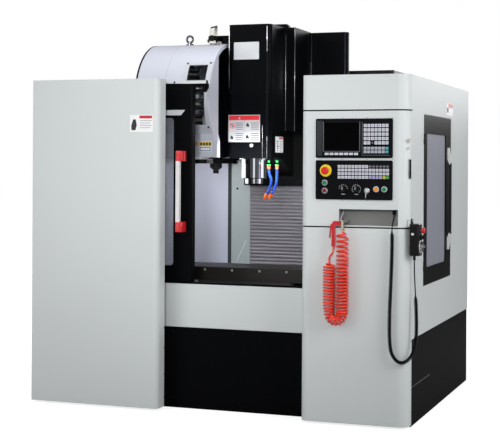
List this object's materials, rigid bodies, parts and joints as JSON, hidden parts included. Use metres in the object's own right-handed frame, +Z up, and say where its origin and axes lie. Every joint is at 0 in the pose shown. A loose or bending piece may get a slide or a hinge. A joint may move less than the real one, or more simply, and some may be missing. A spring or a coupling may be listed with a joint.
{
  "type": "vertical machining centre",
  "caption": "Enclosed vertical machining centre: sliding front door, side door, control column with pendant and air gun, moving table, spindle head, tool magazine and changer arm.",
  "frame": {"origin": "on the floor, under the middle of the machine's outer box, cords apart", "axes": "+X to the operator's right, +Y to the back, +Z up"},
  "size_m": [2.2886, 2.123, 2.231],
  "materials": {
    "cast_iron": "painted grey casting",
    "steel_dark": "blackened steel",
    "skirt_black": "fine-textured black powder coat",
    "cover_white": "smooth white powder coat",
    "cover_black": "fine-textured black powder coat",
    "control_grey": "matte front foil on a steel plate",
    "button_green": "glossy lens",
    "button_red": "glossy lens",
    "button_orange": "glossy lens",
    "button_white": "glossy lens",
    "knob_black": "moulded",
    "chrome_trim": "ground and plated",
    "interior_grey": "semi-gloss paint",
    "ground_iron": "ground",
    "motor_black": "semi-gloss paint",
    "spindle_steel": "ground",
    "bellows_cloth": "coated cloth",
    "nozzle_plastic": "moulded segments",
    "window_glass": "clear safety glass",
    "handle_red": "moulded",
    "pot_grey": "moulded pots on a steel disc",
    "brass_fittings": "plated fittings",
    "pendant_black": "moulded",
    "hose_red": "polyurethane",
    "cord_black": "curly cord jacket"
  },
  "bodies": {
    "machine": {"bed_casting": "cast_iron", "levelling_feet": "steel_dark", "base_skirt": "skirt_black", "chip_pan": "cover_white", "left_front_panel": "cover_white", "left_side_wall": "cover_white", "right_side_wall": "cover_white", "lower_column_cover": "cover_white", "upper_column_cover": "cover_white", "control_housing": "cover_white", "screen_unit": "control_grey", "operator_unit": "control_grey", "splash_walls": "interior_grey", "column_casting": "cast_iron", "column_cover": "cover_black", "z_bellows": "bellows_cloth", "door_track": "interior_grey", "magazine_cover": "cover_white", "changer_gearbox": "cast_iron", "air_unit": "brass_fittings", "lifting_eye": "steel_dark", "electrical_cabinet": "cover_black", "pendant": "pendant_black", "air_gun": "hose_red", "hose_tail": "hose_red", "hose_coil": "hose_red", "pendant_curl": "cord_black", "pendant_lead": "cord_black"},
    "door": {"sliding_door": "cover_white", "door_glass": "window_glass", "door_handle": "handle_red"},
    "side_door_leaf": {"side_door": "cover_black", "side_glass": "window_glass", "side_handle": "knob_black"},
    "saddle_slider": {"saddle": "cast_iron"},
    "table_slider": {"table": "ground_iron"},
    "head": {"head_casting": "cast_iron", "spindle_motor": "motor_black", "head_cover": "cover_black", "spindle_housing": "chrome_trim", "coolant_nozzles": "nozzle_plastic"},
    "spindle_rotor": {"spindle": "spindle_steel"},
    "left_valve_lever": {"left_valve": "nozzle_plastic"},
    "right_valve_lever": {"right_valve": "nozzle_plastic"},
    "magazine": {"tool_disc": "pot_grey"},
    "changer_lift": {"changer_shaft": "spindle_steel"},
    "changer_swinger": {"changer_arm": "spindle_steel"},
    "start": {"start_button": "button_green"},
    "stop": {"stop_button": "button_red"},
    "reset": {"reset_button": "button_orange"},
    "light": {"light_button": "button_green"},
    "estop": {"estop_button": "button_red"},
    "mode": {"mode_switch": "knob_black"},
    "override": {"override_switch": "knob_black"},
    "key": {"key_switch": "chrome_trim"},
    "wheel": {"pendant_wheel": "button_white"},
    "hand_stop": {"pendant_stop": "button_red"},
    "axis_knob": {"axis_selector": "knob_black"},
    "step_knob": {"step_selector": "knob_black"},
    "trigger": {"gun_trigger": "hose_red"}
  },
  "joints": [
    {"name": "door_slide", "type": "slide", "parent": "machine", "child": "door", "axis": [1, 0, 0], "range_m": [0, 0.699]},
    {"name": "side_door_swing", "type": "hinge", "parent": "machine", "child": "side_door_leaf", "pos_m": [1.07075, -0.6355, 1.184], "axis": [0, 0, -1], "range_deg": [0, 110]},
    {"name": "saddle_slide", "type": "slide", "parent": "machine", "child": "saddle_slider", "axis": [0, 1, 0], "range_m": [-0.2, 0.2]},
    {"name": "table_slide", "type": "slide", "parent": "saddle_slider", "child": "table_slider", "axis": [1, 0, 0], "range_m": [-0.3, 0.3]},
    {"name": "head_slide", "type": "slide", "parent": "machine", "child": "head", "axis": [0, 0, 1], "range_m": [-0.38, 0.12], "deforming": ["z_bellows"]},
    {"name": "spindle_turn", "type": "hinge", "parent": "head", "child": "spindle_rotor", "pos_m": [-0.03975, -0.2875, 1.3], "axis": [0, 0, 1], "continuous": true},
    {"name": "left_valve_turn", "type": "hinge", "parent": "head", "child": "left_valve_lever", "pos_m": [0.07725, -0.3605, 1.371], "axis": [0, 1, 0], "range_deg": [0, 90]},
    {"name": "right_valve_turn", "type": "hinge", "parent": "head", "child": "right_valve_lever", "pos_m": [0.12725, -0.3605, 1.371], "axis": [0, 1, 0], "range_deg": [0, 90]},
    {"name": "magazine_turn", "type": "hinge", "parent": "machine", "child": "magazine", "pos_m": [-0.51275, -0.2875, 1.751], "axis": [1, 0, 0], "continuous": true},
    {"name": "changer_drop", "type": "slide", "parent": "machine", "child": "changer_lift", "axis": [0, 0, 1], "range_m": [-0.11, 0]},
    {"name": "changer_swing", "type": "hinge", "parent": "changer_lift", "child": "changer_swinger", "pos_m": [-0.28775, -0.2875, 1.39], "axis": [0, 0, 1], "range_deg": [0, 60]},
    {"name": "start_press", "type": "slide", "parent": "machine", "child": "start", "axis": [0, 1, 0], "range_m": [0, 0.004], "stiffness_N_per_m": 400},
    {"name": "stop_press", "type": "slide", "parent": "machine", "child": "stop", "axis": [0, 1, 0], "range_m": [0, 0.004], "stiffness_N_per_m": 400},
    {"name": "reset_press", "type": "slide", "parent": "machine", "child": "reset", "axis": [0, 1, 0], "range_m": [0, 0.004], "stiffness_N_per_m": 400},
    {"name": "light_press", "type": "slide", "parent": "machine", "child": "light", "axis": [0, 1, 0], "range_m": [0, 0.004], "stiffness_N_per_m": 400},
    {"name": "estop_press", "type": "slide", "parent": "machine", "child": "estop", "axis": [0, 1, 0], "range_m": [0, 0.006], "stiffness_N_per_m": 800},
    {"name": "mode_turn", "type": "hinge", "parent": "machine", "child": "mode", "pos_m": [0.71625, -1.0205, 1.248], "axis": [0, 1, 0], "range_deg": [-60, 60]},
    {"name": "override_turn", "type": "hinge", "parent": "machine", "child": "override", "pos_m": [0.78725, -1.0205, 1.248], "axis": [0, 1, 0], "range_deg": [-135, 135]},
    {"name": "key_turn", "type": "hinge", "parent": "machine", "child": "key", "pos_m": [0.84525, -1.0205, 1.24], "axis": [0, 1, 0], "range_deg": [0, 90]},
    {"name": "wheel_turn", "type": "hinge", "parent": "machine", "child": "wheel", "pos_m": [1.12525, -0.9605, 0.951], "axis": [1, 0, 0], "continuous": true},
    {"name": "hand_stop_press", "type": "slide", "parent": "machine", "child": "hand_stop", "axis": [-1, 0, 0], "range_m": [0, 0.005], "stiffness_N_per_m": 400},
    {"name": "axis_turn", "type": "hinge", "parent": "machine", "child": "axis_knob", "pos_m": [1.12025, -0.9805, 1], "axis": [1, 0, 0], "range_deg": [-60, 60]},
    {"name": "step_turn", "type": "hinge", "parent": "machine", "child": "step_knob", "pos_m": [1.12025, -0.9405, 1], "axis": [1, 0, 0], "range_deg": [-60, 60]},
    {"name": "trigger_press", "type": "hinge", "parent": "machine", "child": "trigger", "pos_m": [0.65835, -1.0245, 1.059], "axis": [0, -1, 0], "range_deg": [0, 6], "stiffness_Nm_per_rad": 2}
  ]
}
